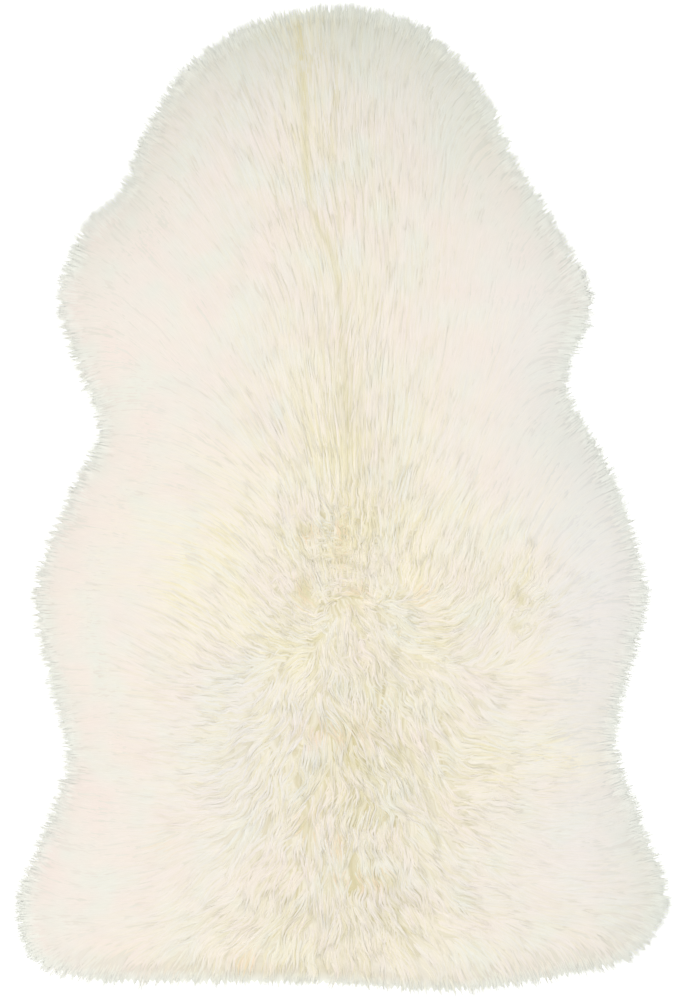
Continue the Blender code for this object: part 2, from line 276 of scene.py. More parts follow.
# %% [markdown]
# ## The grain, and how the coat drifts
# To draw fine streaks that follow the comb, a pattern needs two numbers at each place: how far along the wool's run
# it is, and how far across it. Each is a chart whose steepest climb points one way everywhere, as near as a smooth
# chart can, and a Fourier transform finds such a chart in one go. Neighbouring locks also stray and wave together,
# like grass in a wind. Two smooth random charts give that drift.

# %% The grain charts


def climbing(x, y):
    """The smooth chart that climbs most nearly along the directions given."""
    spread = np.gradient(x, CHART_STEP, axis=0) + np.gradient(y, CHART_STEP, axis=1)
    mirrored = np.concatenate([spread, spread[::-1]])
    mirrored = np.concatenate([mirrored, mirrored[:, ::-1]], 1)
    turns = [2 - 2 * np.cos(2 * np.pi * np.arange(n) / n) for n in mirrored.shape]
    sharpness = (turns[0][:, None] + turns[1][None]) / CHART_STEP**2
    sharpness[0, 0] = 1.0
    chart = np.fft.ifft2(-np.fft.fft2(mirrored) / sharpness).real
    return chart[: CHART_SIZE[0], : CHART_SIZE[1]]


def drift(reach):
    """A smooth random chart, from about -2 to 2, that changes over this distance."""
    chart = softened(draw.normal(0, 1, CHART_SIZE), int(2 * (reach / CHART_STEP) ** 2))
    return (chart - chart.mean()) / chart.std()


CRIMP_LENGTH = 0.017  # of one wave in curly wool
STRAY_REACH, PHASE_REACH = 0.011, 0.016  # over which neighbours stray and wave together
PHASE_DRIFT = 3  # how far the waves run out of step from place to place

grain_across, grain_along = climbing(-comb_y, comb_x), climbing(comb_x, comb_y)
stray_chart, phase_chart = drift(STRAY_REACH), drift(PHASE_REACH)
wave_chart = grain_along / CRIMP_LENGTH * 2 * np.pi + PHASE_DRIFT * phase_chart
fanning = np.gradient(comb_x, CHART_STEP, axis=0) + np.gradient(comb_y, CHART_STEP, axis=1)
fanning = softened(fanning, SOFTENING["fanning"])
print("grain runs over", round(float(np.ptp(grain_along)), 2), "m")

# %% [markdown]
# ## Where the wool is curly, and where it is crisp
# Over the neck and the shoulders the fibres are almost straight. From the whorl on the croup down to the tail they
# are crimped into waves, and the locks curl apart from each other. How far the locks stand out from each other is
# a second thing: towards the rim the coat lies as smooth as silk, and along the backbone it is crisp even where it
# is straight. A few soft spots say where, and how much, of each.

# %% Soft spots


def spots(rows):
    """A chart of soft spots, each strongest at its middle. Spots that overlap add up to no more than 1."""
    chart = np.zeros(CHART_SIZE)
    for *lengths, strength in rows:
        across, along, half_width, half_length = (length / 1000 for length in lengths)
        apart = ((chart_x - across) / half_width) ** 2 + ((chart_y - along) / half_length) ** 2
        chart = 1 - (1 - chart) * (1 - strength * np.exp(-0.5 * apart))
    return chart


CURLS = (  # across, along, half width and half length in millimetres, and how curly
    (8, -175, 85, 85, 0.95), (10, -60, 35, 35, 1.0), (168, -105, 25, 35, 0.8), (20, -290, 110, 70, 0.8),
    (0, -390, 120, 50, 0.55),
)  # fmt: skip
CRISPNESS = (
    (-25, 380, 35, 90, 0.32), (-100, 330, 45, 70, 0.25), (60, 330, 45, 100, 0.22), (0, 200, 50, 120, 0.36),
    (10, 50, 70, 80, 0.40), (5, -60, 40, 50, 0.8), (0, -150, 95, 80, 0.6), (10, -270, 85, 90, 0.9),
    (0, -390, 90, 40, 0.8), (168, -105, 22, 30, 0.5), (-130, -440, 80, 20, 0.25), (150, -440, 70, 20, 0.15),
    (130, -260, 40, 35, 0.3), (112, -95, 38, 40, 0.45), (230, -400, 40, 40, 0.2),
)  # fmt: skip
curl_chart = spots(CURLS)
crisp_chart = spots(CRISPNESS)
combed_flat = softened(height_chart, SOFTENING["smooth wool"])
height_chart = height_chart * crisp_chart + combed_flat * (1 - crisp_chart)
print("mean curl over the rug", round(float(curl_chart[inset_chart > 0].mean()), 2))

# %% [markdown]
# ## The wool's shades
# Raw wool is never one white. A little grease leaves it yellow in places, along the parting too, and the curls on
# the croup catch a peach stain. The rest is painted light and shade: the deeper strands, the parting, the hollows
# and the gaps between crisp locks are painted darker and yellower as shade, the flanks have a breath of lilac shade,
# the neck's top and the right side a painted grey shade in from the rim, and the tips at the rim a painted light.
# Each lock takes its shades from soft spots like those of the curl, and the material mixes the tints by these
# amounts.

# %% The shades
WARM = (  # across, along, half width and half length in millimetres, and how yellow
    (-34, 400, 14, 60, 0.45), (-12, 240, 16, 50, 0.15), (-4, 120, 40, 75, 0.38), (2, 0, 18, 70, 0.44),
    (-1, -36, 8, 26, 0.75), (0, 80, 110, 180, 0.22), (0, -60, 130, 80, 0.35), (168, -110, 14, 26, 0.70),
    (20, -230, 130, 130, 0.40), (-130, -90, 40, 50, 0.40), (170, -250, 50, 25, 0.40),
    (-20, -430, 120, 30, 0.50),
)  # fmt: skip
PEACH = (
    (-1, -36, 6, 22, 0.60), (-33, -30, 8, 5, 0.8), (-36, -88, 6, 10, 0.9), (12, -90, 10, 8, 0.7),
    (77, -88, 8, 8, 0.6), (-35, -310, 6, 10, 0.8), (-3, -328, 6, 10, 0.8), (22, -362, 22, 5, 0.8),
    (-8, -222, 26, 9, 0.75), (-88, -448, 12, 14, 0.6), (-170, -327, 12, 8, 0.3),
)  # fmt: skip
PITS = (  # small hollows between the curls, sunk a little and painted darker as shade
    (13, -251, 4, 4, 0.9), (60, -243, 6, 6, 0.8), (-34, -84, 3, 6, 0.9), (-35, -28, 6, 3, 0.7),
    (12, -94, 4, 4, 0.8), (170, -94, 4, 4, 0.7), (165, -120, 4, 4, 0.7), (-35, -310, 3, 6, 0.7),
    (48, -365, 4, 4, 0.7),
)  # fmt: skip
print("warm in", len(WARM), "spots, peach in", len(PEACH), "and hollow in", len(PITS))

# %% The parting, and the painted shade in gaps, in from the rim and on the flanks
PARTING = (  # along the rug and across it in millimetres, and how plain the parting is there: how far it sinks, and how dark its painted shade is
    (465, -41, 0.3), (411, -39, 0.6), (378, -36, 0.8), (339, -35, 0.6), (305, -33, 0.7),
    (281, -29, 0.5), (260, -20, 0.6), (237, -9, 0.5), (213, -4, 0.5), (175, -1, 0.3),
    (132, 3, 0.5), (100, 4, 0.6), (74, 5, 0.5), (30, 5, 0.3), (0, 4, 0.1),
    (-40, 3, 0.0), (-60, 3, 0.0),
)  # fmt: skip
PARTING_WIDTH = 0.0033
GAP_SHADE = (  # where painted yellowish shade darkens the gaps between the locks
    (-34, 425, 12, 26, 0.45), (-45, 455, 20, 12, 0.55), (-5, 380, 4, 25, 0.35), (3, 90, 14, 60, 0.25),
    (4, -10, 18, 35, 0.10), (-6, 300, 6, 50, 0.25),
)  # fmt: skip
GREY_SHADE = (  # how much painted grey shade the coat takes in from the rim, mostly on the neck's top and the right side
    (222, 45, 35, 45, 0.30), (10, 480, 130, 60, 0.74), (120, 400, 60, 80, 0.35), (-130, 430, 50, 50, 0.22),
)  # fmt: skip
LILACS = (  # and where it has a breath of lilac
    (245, -80, 45, 120, 0.65), (190, 130, 40, 90, 0.35), (80, 400, 60, 60, 0.20), (-120, 380, 60, 60, 0.25),
    (-85, -222, 45, 65, 0.75), (230, -330, 60, 90, 0.35),
)  # fmt: skip
GREY_SHADE_RIM = (  # and how much painted grey shade it takes at the rim itself
    (0, 430, 200, 120, 0.34), (270, 50, 90, 300, 0.45), (-220, 330, 60, 80, 0.35), (320, -330, 60, 100, 0.30),
)  # fmt: skip
print("parting", PARTING[0][0] - PARTING[-1][0], "mm long, through", len(PARTING), "places")

# %% The charts of the shades
GREY_SHADE_REACH = 0.085  # how far in from the rim the rim's painted grey shade reaches
RIM_LIGHT_REACH = (0.018, 0.014)  # the tips' painted light starts this far inside the rim, and is plain this much further out
WARM_CLOUDS = (0.35, 0.012)  # how unevenly the yellow is spread, and over which distance

warm_chart = np.clip(spots(WARM) * (1 + WARM_CLOUDS[0] * drift(WARM_CLOUDS[1])), 0, 1)
peach_chart, pit_chart, gap_shade_chart = spots(PEACH), spots(PITS), spots(GAP_SHADE)
grey_shade_chart = 1 - (1 - spots(GREY_SHADE)) * (1 - ease(1 - inset_chart / GREY_SHADE_REACH) * spots(GREY_SHADE_RIM))
rim_light_chart = ease((RIM_LIGHT_REACH[0] - inset_chart) / RIM_LIGHT_REACH[1])
lilac_chart = spots(LILACS)
tint_charts = {"warm": warm_chart, "peach": peach_chart, "cool": grey_shade_chart}
tint_charts |= {"tips": rim_light_chart, "lilac": lilac_chart}
print("mean shares", {name: round(float(c[inset_chart > 0].mean()), 2) for name, c in tint_charts.items()})


def parted(points):
    """How much of the parting is seen at points on the floor: 1 on its line, and none beside it."""
    along, across, plain = (np.array(PARTING)[::-1] / (1000, 1000, 1)).T
    apart = points[..., 0] - np.interp(points[..., 1], along, across)
    return np.interp(points[..., 1], along, plain) * np.exp(-((apart / PARTING_WIDTH) ** 2))


# %% [markdown]
# ## Materials
# Wool is protein fibre with a scaly surface: it never shines, but its edges catch a soft light, which is sheen.
# The fibres in a lock run side by side, so the eye sees fine streaks along it. Under the locks the bed is painted
# darker and warmer as shade, the colour of light that goes down between the fibres and comes back yellow. The hide
# is buffed suede.

# %% Helpers for the materials


def hex_colour(text):
    """An sRGB colour such as F0E8D8 as linear values."""
    shades = [int(text[i : i + 2], 16) / 255 for i in (0, 2, 4)]
    return (*[s / 12.92 if s <= 0.04045 else ((s + 0.055) / 1.055) ** 2.4 for s in shades], 1.0)


def add(material, kind, settings=()):
    """Adds a shader node. A setting is a property, an input's value, a socket to link to it, or a ramp's stops."""
    node = material.node_tree.nodes.new("ShaderNode" + kind)
    for name, value in dict(settings).items():
        if name == "stops":
            for stop, (place, shade) in zip(node.color_ramp.elements, value):
                stop.position, stop.color = place, hex_colour(shade)
        elif isinstance(value, bpy.types.NodeSocket):
            material.node_tree.links.new(value, node.inputs[name])
        elif hasattr(node, str(name)):
            setattr(node, name, value)
        else:
            node.inputs[name].default_value = value
    return node


def start_material(name):
    """A new material with an empty Principled shader, and that shader."""
    material = bpy.data.materials.new(name)
    material.use_nodes = True
    return material, material.node_tree.nodes["Principled BSDF"]


def fibre_noise(material, uv_map, stretch, detail):
    """Fine streaks along a UV map, as of fibres that lie side by side."""
    where = add(material, "UVMap", {"uv_map": uv_map}).outputs["UV"]
    where = add(material, "Mapping", {"Scale": stretch, "Vector": where}).outputs[0]
    settings = {"Scale": 1.0, "Detail": detail, "Roughness": 0.6, "Vector": where}
    return add(material, "TexNoise", settings).outputs["Fac"]


def finish(material, shader, colour, relief, strength, depth, surface):
    """Links a colour and a bump of some depth in metres to the shader, and sets its plain values."""
    bump = add(material, "Bump", {"Strength": strength, "Distance": depth, "Height": relief})
    material.node_tree.links.new(colour, shader.inputs["Base Color"])
    material.node_tree.links.new(bump.outputs[0], shader.inputs["Normal"])
    for name, value in surface.items():
        shader.inputs[name].default_value = value
    print(material.name, "of", len(material.node_tree.nodes), "nodes")
    return material


# %% Natural wool, scoured and combed
SNOW = hex_colour("F3EBE2")  # clean wool
ROSE, MINT = hex_colour("F6E7DF"), hex_colour("EAEFE4")  # its faint clouds
CREAM, YELLOW = hex_colour("F9F2DD"), hex_colour("F2E8BD")  # a little grease, and much of it
APRICOT = hex_colour("F2D6AC")  # stained curls
LILAC = hex_colour("ECEAE9")  # the shaded flanks
GREY_RIM_SHADE = hex_colour("D8DDCF")  # painted grey shade in from the rim
RIM_LIGHT = hex_colour("FCFFF6")  # painted light on the outermost tips
PAINTED_SHADE = hex_colour("DFD7B1")  # painted yellowish shade deep between the locks, in the hollows and along the parting

TINTS = (  # what carries each tint, from where to where on it the tint grows, how far, and the tint
    ("clouds", 0.50, 0.68, 0.5, ROSE), ("clouds", 0.50, 0.32, 0.5, MINT), ("cool", 0.0, 1.0, 0.95, GREY_RIM_SHADE),
    ("lilac", 0.0, 1.0, 1.0, LILAC), ("warm", 0.0, 0.8, 0.9, CREAM), ("warm", 0.6, 1.0, 0.4, YELLOW),
    ("peach", 0.1, 1.0, 0.6, APRICOT), ("deep", 0.0, 1.0, 0.9, PAINTED_SHADE), ("tips", 0.0, 1.0, 1.0, RIM_LIGHT),
)  # fmt: skip
STREAK_TONES = (0.3, 0.7, 0.955, 1.035)  # from where to where on the streaks, and how dark and how light
STRAND_TONES = (0.0, 1.0, 0.94, 1.06)  # and the same for the lightness that each strand has of its own
MIXING = {"data_type": "RGBA", "clamp_factor": True}


def wool_material():
    """Combed sheep's wool: matt, streaked along each lock, in soft clouds of rose and mint, with painted yellowish
    shade deep down and painted light at the rim's tips.
    """
    material, shader = start_material("combed sheep wool")
    place = add(material, "TexCoord").outputs["Object"]
    # 24 to the metre: clouds about 40 mm wide, the size of a few locks.
    clouds = add(material, "TexNoise", {"Scale": 24.0, "Detail": 1.5, "Vector": place}).outputs["Fac"]
    carriers = {"clouds": clouds}
    for name in ("cool", "lilac", "warm", "peach", "deep", "tips", "strand"):
        carriers[name] = add(material, "Attribute", {"attribute_name": name}).outputs["Fac"]
    colour = SNOW
    for name, low, high, most, tint in TINTS:
        ends = {"From Min": low, "From Max": high, "To Max": most, "Value": carriers[name]}
        share = add(material, "MapRange", ends).outputs["Result"]
        colour = add(material, "Mix", MIXING | {0: share, 6: colour, 7: tint}).outputs[2]
    # Ten streaks round a strand, 0.2 to 0.3 mm each. A fibre is ten times finer, which would not show.
    streak = fibre_noise(material, "strand", (10.0, 2.5, 1.0), 2.0)
    tones = []
    for carrier, (low, high, dark, light) in ((streak, STREAK_TONES), (carriers["strand"], STRAND_TONES)):
        ends = {"From Min": low, "From Max": high, "To Min": dark, "To Max": light, "Value": carrier}
        tones.append(add(material, "MapRange", ends).outputs["Result"])
    value = add(material, "Math", {"operation": "MULTIPLY", 0: tones[0], 1: tones[1]}).outputs[0]
    shaded = add(material, "HueSaturation", {"Color": colour, "Value": value}).outputs[0]
    surface = {"Roughness": 0.8, "IOR": 1.55, "Specular IOR Level": 0.25}
    surface |= {"Sheen Weight": 0.2, "Sheen Roughness": 0.5}
    return finish(material, shader, shaded, streak, strength=0.25, depth=0.0003, surface=surface)


wool = wool_material()

# %% The bed's matted wool


def bed_material():
    """The wool's dense undercoat: pale combed silk near the rim, painted darker and yellower as shade where the
    locks part.
    """
    material, shader = start_material("matted wool undercoat")
    # Streaks of 2 by 22 mm, as wide as the strands over the bed.
    fibres = fibre_noise(material, "grain", (520.0, 45.0, 1.0), 3.0)
    # The second ramp is painted shade: darker and yellower where the locks are crisp and let the eye in between
    # them.
    combed, painted_shade_streaks = (
        add(material, "ValToRGB", {"stops": stops, "Fac": fibres}).outputs[0]
        for stops in (((0.3, "EFE9DE"), (0.7, "F5EFE6")), ((0.36, "DACFA2"), (0.60, "F6EFDA")))
    )
    colour = combed
    for name, most, tint in (
        ("warm", 0.6, CREAM), ("cool", 0.95, GREY_RIM_SHADE), ("lilac", 1.0, LILAC), ("crisp", 1.1, painted_shade_streaks),
        ("tips", 1.0, RIM_LIGHT),
    ):  # fmt: skip
        amount = add(material, "Attribute", {"attribute_name": name}).outputs["Fac"]
        share = add(material, "Math", {"operation": "MULTIPLY", 0: amount, 1: most}).outputs[0]
        colour = add(material, "Mix", MIXING | {0: share, 6: colour, 7: tint}).outputs[2]
    surface = {"Roughness": 0.85, "Specular IOR Level": 0.2, "Sheen Weight": 0.2}
    return finish(material, shader, colour, fibres, strength=0.35, depth=0.0006, surface=surface)


undercoat = bed_material()

# %% The hide's suede


def suede_material():
    """Tanned hide, buffed on the flesh side: matt, with a fine nap and the tanner's faint clouds."""
    material, shader = start_material("buffed suede hide")
    # Clouds of about 110 mm, and a nap of about 1 mm, coarser than the real one so that it shows.
    where = add(material, "TexCoord").outputs["Object"]
    clouds = add(material, "TexNoise", {"Scale": 9.0, "Detail": 5.0, "Vector": where}).outputs["Fac"]
    nap = add(material, "TexNoise", {"Scale": 900.0, "Detail": 2.0, "Vector": where}).outputs["Fac"]
    stops = ((0.35, "D9CBB2"), (0.68, "EAE0CC"))
    colour = add(material, "ValToRGB", {"stops": stops, "Fac": clouds}).outputs[0]
    surface = {"Roughness": 0.85, "Specular IOR Level": 0.3, "Sheen Weight": 0.15}
    return finish(material, shader, colour, nap, strength=0.3, depth=0.0004, surface=surface)


suede = suede_material()

# %% Writing values onto a mesh


def floats(values):
    """Values as the plain row of single floats that a mesh takes."""
    return np.asarray(values).astype(np.float32).ravel()


def carry(mesh, name, values):
    """Gives each point of a mesh an amount that its material can read."""
    mesh.attributes.new(name, "FLOAT", "POINT").data.foreach_set("value", floats(values))


def lay_map(mesh, name, places):
    """Gives a mesh a UV map, with a place for each corner of its faces."""
    mesh.uv_layers.new(name=name).uv.foreach_set("vector", floats(places))


def face_light(mesh, normals):
    """Makes a mesh take the light by these normals, one for each corner of its faces."""
    mesh.attributes.new("custom_normal", "FLOAT_VECTOR", "CORNER").data.foreach_set("vector", floats(normals))


# %% [markdown]
# ## The hide
# A tanned sheepskin's leather is about 2 mm thick and lies flat. It ends a few centimetres inside the wool's
# reach, because the outermost locks lean out over its cut edge. A disc is the nearest primitive: it is added
# filled, its rim is drawn to the outline in code, and a Solidify modifier gives it its thickness.

# %% Cutting the hide
HIDE_INSET = 0.045
HIDE_THICKNESS = 0.002
HIDE_POINTS = 180
DISC_RADIUS = 0.3  # of the disc that the hide is cut from
RING_PASSES = 60
SMALL_STEP = 0.002  # the longest step in walking a point towards or away from the rim


def only(piece):
    """Makes a piece the one selected object, and the active one."""
    bpy.ops.object.select_all(action="DESELECT")
    piece.select_set(True)
    bpy.context.view_layer.objects.active = piece


def walked(points, inset, chart, passes):
    """Points moved out or in, square to the rim, until a chart says that they lie this far inside it."""
    for _ in range(passes):
        short = inset - read(chart, points)
        out = np.stack([read(out_x, points), read(out_y, points)], 1)
        points = points - out * np.clip(short, -SMALL_STEP, SMALL_STEP)[:, None]
    return points


def ring_inside(inset, count):
    """An even ring of points this far inside the rim: the outline, walked inwards along the inset chart."""
    steps = np.linspace(0, len(outline), count, endpoint=False).astype(int)
    return walked(outline[steps], inset, smooth_inset, RING_PASSES)


bpy.ops.object.select_all(action="DESELECT")
bpy.ops.mesh.primitive_circle_add(vertices=HIDE_POINTS, radius=DISC_RADIUS, fill_type="NGON")
hide = bpy.context.active_object
hide.name = hide.data.name = "hide"
ring = ring_inside(HIDE_INSET, HIDE_POINTS)
order = np.argsort([math.atan2(v.co.y, v.co.x) for v in hide.data.vertices])
first = np.argmin([math.atan2(y, x) for x, y in ring])
for place, number in enumerate(order):
    x, y = ring[(first + place) % HIDE_POINTS]
    hide.data.vertices[int(number)].co = (x, y, HIDE_THICKNESS)
only(hide)
bpy.ops.object.mode_set(mode="EDIT")
bpy.ops.mesh.select_all(action="SELECT")
bpy.ops.mesh.normals_make_consistent(inside=False)
bpy.ops.object.mode_set(mode="OBJECT")
if hide.data.polygons[0].normal.z < 0:
    hide.data.flip_normals()
thick = hide.modifiers.new("thickness", "SOLIDIFY")
thick.thickness = HIDE_THICKNESS
thick.offset = -1
bpy.ops.object.modifier_apply(modifier=thick.name)
hide.data.materials.append(suede)

# %% [markdown]
# ## The bed
# Under the locks the wool is so dense that nothing can be seen through it. The bed is a cushion of that dense
# undercoat. It starts as a grid primitive over the whole rug. What lies outside the rim is deleted, the new edge
# is drawn out to an even distance inside the rim and extruded into uneven tongues, so that no even line shows
# between the rim's locks. The grid takes its height from the chart, and its edge is extruded down to the hide and
# closed. It lies a hair under the locks where the coat is smooth, and deeper where the locks are crisp and let the
# eye in between them. Most of its light is taken as the combed coat over it takes it, by normals of its own.

# %% Making the bed from a grid
BED_SPAN = (0.66, 0.98)
BED_STEP = 0.0058
BED_INSET = 0.011
BED_DEPTH = (0.0002, 0.0013)  # under the wool's height, in smooth wool and in crisp wool
BED_EDGE, BED_EDGE_WIDTH = 0.0010, 0.012  # and this much lower at its edge, over this width
BED_LOWEST = HIDE_THICKNESS + 0.001
BED_FOOT = HIDE_INSET + 0.004  # how far inside the rim the bed meets the hide
BED_CRIMP = 0.0022  # how far curly wool waves the bed's streaks from side to side
BED_RELIEF = 0.3  # how far the bed takes the light as its own surface, and not as the combed coat over it
TONGUES = ((0.0025, 0.0060), (0.0080, 0.0105))  # how far inside the rim the bed's points and notches lie
EDGE_PASSES, SMOOTH_PASSES = 80, 12


def plan_of(verts):
    """Where points of a mesh lie on the floor."""
    return np.array([v.co[:2] for v in verts])


def draw_to(verts, inset):
    """Moves points of the bed square to the rim, until they lie this far inside it."""
    for vert, place in zip(verts, walked(plan_of(verts), inset, inset_chart, EDGE_PASSES)):
        vert.co.x, vert.co.y = place


def extrude_edge():
    """Extrudes the bed's open edge in place, and returns its new points and its new open edges."""
    grown = bmesh.ops.extrude_edge_only(bm, edges=[e for e in bm.edges if e.is_boundary])["geom"]
    verts = [g for g in grown if isinstance(g, bmesh.types.BMVert)]
    return verts, [g for g in grown if isinstance(g, bmesh.types.BMEdge) and g.is_boundary]


bpy.ops.object.select_all(action="DESELECT")
columns, rows = (round(span / BED_STEP) for span in BED_SPAN)
bpy.ops.mesh.primitive_grid_add(x_subdivisions=columns, y_subdivisions=rows, size=1, location=(0, 0, 0))
bed = bpy.context.active_object
bed.name = bed.data.name = "wool_bed"
bm = bmesh.new()
bm.from_mesh(bed.data)
for vert in bm.verts:
    vert.co.x, vert.co.y = vert.co.x * BED_SPAN[0], vert.co.y * BED_SPAN[1]

# %% Cutting the grid to the rim
TOO_NEAR = 0.25 * BED_STEP  # a point this near the new edge would make slivers

bare = read(inset_chart, plan_of(bm.verts)) < BED_INSET + TOO_NEAR
bmesh.ops.delete(bm, geom=[vert for vert, out in zip(bm.verts, bare) if out], context="VERTS")
bmesh.ops.delete(bm, geom=[v for v in bm.verts if len(v.link_faces) < 2], context="VERTS")
print("grid cut to", len(bm.faces), "faces")
edge = [v for v in bm.verts if v.is_boundary]
draw_to(edge, BED_INSET)
near = {v for e in edge for f in e.link_faces for v in f.verts}
near |= {v for e in near for f in e.link_faces for v in f.verts}
near = [v for v in near if not v.is_boundary]
for _ in range(SMOOTH_PASSES):
    bmesh.ops.smooth_vert(bm, verts=near, factor=0.5, use_axis_x=True, use_axis_y=True, use_axis_z=False)

# %% The bed's tongues
cut = bmesh.ops.subdivide_edges(bm, edges=[e for e in bm.edges if e.is_boundary], cuts=1)
middles = {g for g in cut["geom_inner"] if isinstance(g, bmesh.types.BMVert)}
tongues, _ = extrude_edge()
points = np.array([any(e.other_vert(v) in middles for e in v.link_edges) for v in tongues])
ends = np.where(points, draw.uniform(*TONGUES[0], len(points)), draw.uniform(*TONGUES[1], len(points)))
draw_to(tongues, ends)
print("bed's edge has", int(points.sum()), "points and", len(points) - int(points.sum()), "notches")

# %% Raising the bed, and closing it below
for vert in bm.verts:
    place = np.array(vert.co[:2])
    depth = BED_DEPTH[0] + (BED_DEPTH[1] - BED_DEPTH[0]) * float(read(crisp_chart, place))
    depth += BED_EDGE * float(1 - ease((read(inset_chart, place) - BED_INSET) / BED_EDGE_WIDTH))
    vert.co.z = max(float(read(height_chart, place)) - depth, BED_LOWEST)
foot, foot_edges = extrude_edge()
draw_to(foot, BED_FOOT)
for vert in foot:
    vert.co.z = HIDE_THICKNESS
bmesh.ops.contextual_create(bm, geom=foot_edges)
bmesh.ops.recalc_face_normals(bm, faces=bm.faces)
bm.to_mesh(bed.data)
bm.free()
print("bed stands", round(max(v.co.z for v in bed.data.vertices) * 1000, 1), "mm high at most")

# %% The bed's tints, streaks and light
STEEP = 0.25  # a face whose normal rises less than this keeps the light of its own surface
SHARP = math.radians(50)  # edges sharper than this stay sharp

plan = plan_of(bed.data.vertices)
bed_charts = {"crisp": crisp_chart} | {mark: tint_charts[mark] for mark in ("warm", "cool", "tips", "lilac")}
for mark, chart in bed_charts.items():
    carry(bed.data, mark, read(chart, plan))
corner = np.empty(len(bed.data.loops), dtype=np.int32)
bed.data.loops.foreach_get("vertex_index", corner)
crimp = BED_CRIMP * read(curl_chart, plan) * np.sin(read(wave_chart, plan))
lay_map(bed.data, "grain", np.stack([read(grain_across, plan) + crimp, read(grain_along, plan)], 1)[corner])
bed.data.materials.append(undercoat)
only(bed)
bpy.ops.object.shade_smooth_by_angle(angle=SHARP)
shaded = np.empty(len(corner) * 3, dtype=np.float32)
bed.data.corner_normals.foreach_get("vector", shaded)
shaded = shaded.reshape(-1, 3)
combed = np.stack([read(chart, plan) for chart in coat_normal], -1)[corner]
combed /= np.linalg.norm(combed, axis=1, keepdims=True)
above = np.repeat([p.normal.z > STEEP for p in bed.data.polygons], [len(p.vertices) for p in bed.data.polygons])
shaded = np.where(above[:, None], combed * (1 - BED_RELIEF) + shaded * BED_RELIEF, shaded)
face_light(bed.data, shaded / np.linalg.norm(shaded, axis=1, keepdims=True))
print("bed", len(bed.data.polygons), "faces")

# %% [markdown]
# ## Growing the locks
# A lock is a bundle of strands that start side by side and lean together towards one tip. Each strand is a slender
# closed sliver with three sides, pointed at both ends. All of them are made at once as numpy arrays: first the path
# of every lock, walked step by step in the direction of the comb, then each strand beside its lock's path, and last
# the small rings of three points that give the strand its body. Making each by hand would take days, and hair
# particles would not end up as solid pieces.

# %% The path of a lock
PATH_STEPS = 24
FIELD = (0.75, 1.06)  # the floor over which roots are laid out, and more than the rug
ROW_STEP = 0.866  # from one row of a staggered lattice to the next, for places one apart
ROOT_SHIFT = 0.42  # how far a root strays from its place in the lattice, in places


def lattice(step, low_inset):
    """Places over the rug in staggered rows, each moved a little at random, no nearer the rim than given."""
    columns, rows = int(FIELD[0] / step), int(FIELD[1] / (step * ROW_STEP))
    row, column = np.meshgrid(np.arange(rows), np.arange(columns), indexing="ij")
    places = np.stack([CHART_LOW[0] + (column + row % 2 / 2) * step, CHART_LOW[1] + row * step * ROW_STEP], -1)
    places = places.reshape(-1, 2) + draw.uniform(-ROOT_SHIFT, ROOT_SHIFT, (rows * columns, 2)) * step
    return places[read(inset_chart, places) > low_inset]


def turned(x, y, angle):
    """A direction turned by an angle."""
    return x * np.cos(angle) - y * np.sin(angle), x * np.sin(angle) + y * np.cos(angle)


def walk(roots, lengths, stray, sway, phase, pace):
    """Each lock's path from its root: combed, strayed by its own angle and waved by the coat's crimp."""
    path = np.empty((len(roots), PATH_STEPS + 1, 2))
    path[:, 0] = roots
    for step in range(PATH_STEPS):
        here = path[:, step]
        wave = read(wave_chart, here) * pace + phase
        x, y = unit(read(comb_x, here), read(comb_y, here))
        x, y = turned(x, y, stray + sway * np.cos(wave))
        path[:, step + 1] = here + np.stack([x, y], 1) * (lengths / PATH_STEPS)[:, None]
    return path


def cut_at_rim(path, overrun):
    """How much of each path lies inside the rim's line, as a share of its length."""
    inset = read(inset_chart, path) + overrun[:, None]
    inside = np.cumprod(inset > 0, axis=1).sum(1) - 1
    last = np.clip(inside, 0, PATH_STEPS - 1)
    rows = np.arange(len(path))
    before, after = inset[rows, last], inset[rows, last + 1]
    part = np.clip(before / np.maximum(before - after, 1e-9), 0, 1)
    return np.where(inside >= PATH_STEPS, 1.0, (last + part) / PATH_STEPS)


def along_path(path, share):
    """The point at a share of each path's length. share has a column for each section."""
    place = np.clip(share, 0, 1) * PATH_STEPS
    low = np.minimum(place.astype(int), PATH_STEPS - 1)
    rows = np.arange(len(path))[:, None]
    part = (place - low)[..., None]
    return path[rows, low] * (1 - part) + path[rows, low + 1] * part


# %% The body of the strands
SECTION = np.array(((-0.5, -0.33), (0.5, -0.33), (0.0, 0.67)))  # a strand's section: across it, and up
STICK = SECTION * (2.0, 1.5)  # which way the section's corners face on a round stick
FLOOR_GAP = 0.0004
ISLAND_EDGE = 0.06  # the gap round each strand's island on its map, as a share of the island's cell


def normalised(vectors):
    """Vectors made one long."""
    return vectors / np.maximum(np.linalg.norm(vectors, axis=-1, keepdims=True), 1e-9)


def strand_faces(rings):
    """The faces of one strand, as rows of point numbers, with how far round it and along it each corner is."""
    sides = ((0, 1), (1, 2), (2, 0))
    last = 1 + 3 * (rings - 1)
    faces, around, along = [], [], []
    for k, (i, j) in enumerate(sides):
        faces.append((1 + i, 1 + j, 0))
        around.append((k, k + 1, k + 0.5))
        along.append((1, 1, 0))
    for ring in range(rings - 1):
        here, after = 1 + 3 * ring, 4 + 3 * ring
        for k, (i, j) in enumerate(sides):
            faces.append((here + i, after + i, after + j, here + j))
            around.append((k, k, k + 1, k + 1))
            along.append((ring + 1, ring + 2, ring + 2, ring + 1))
    for k, (i, j) in enumerate(sides):
        faces.append((last + i, last + 3, last + j))
        around.append((k, k + 0.5, k + 1))
        along.append((rings, rings + 1, rings))
    flat = [np.array([x for row in rows for x in row]) for rows in (faces, around, along)]
    return np.array([len(face) for face in faces]), *flat


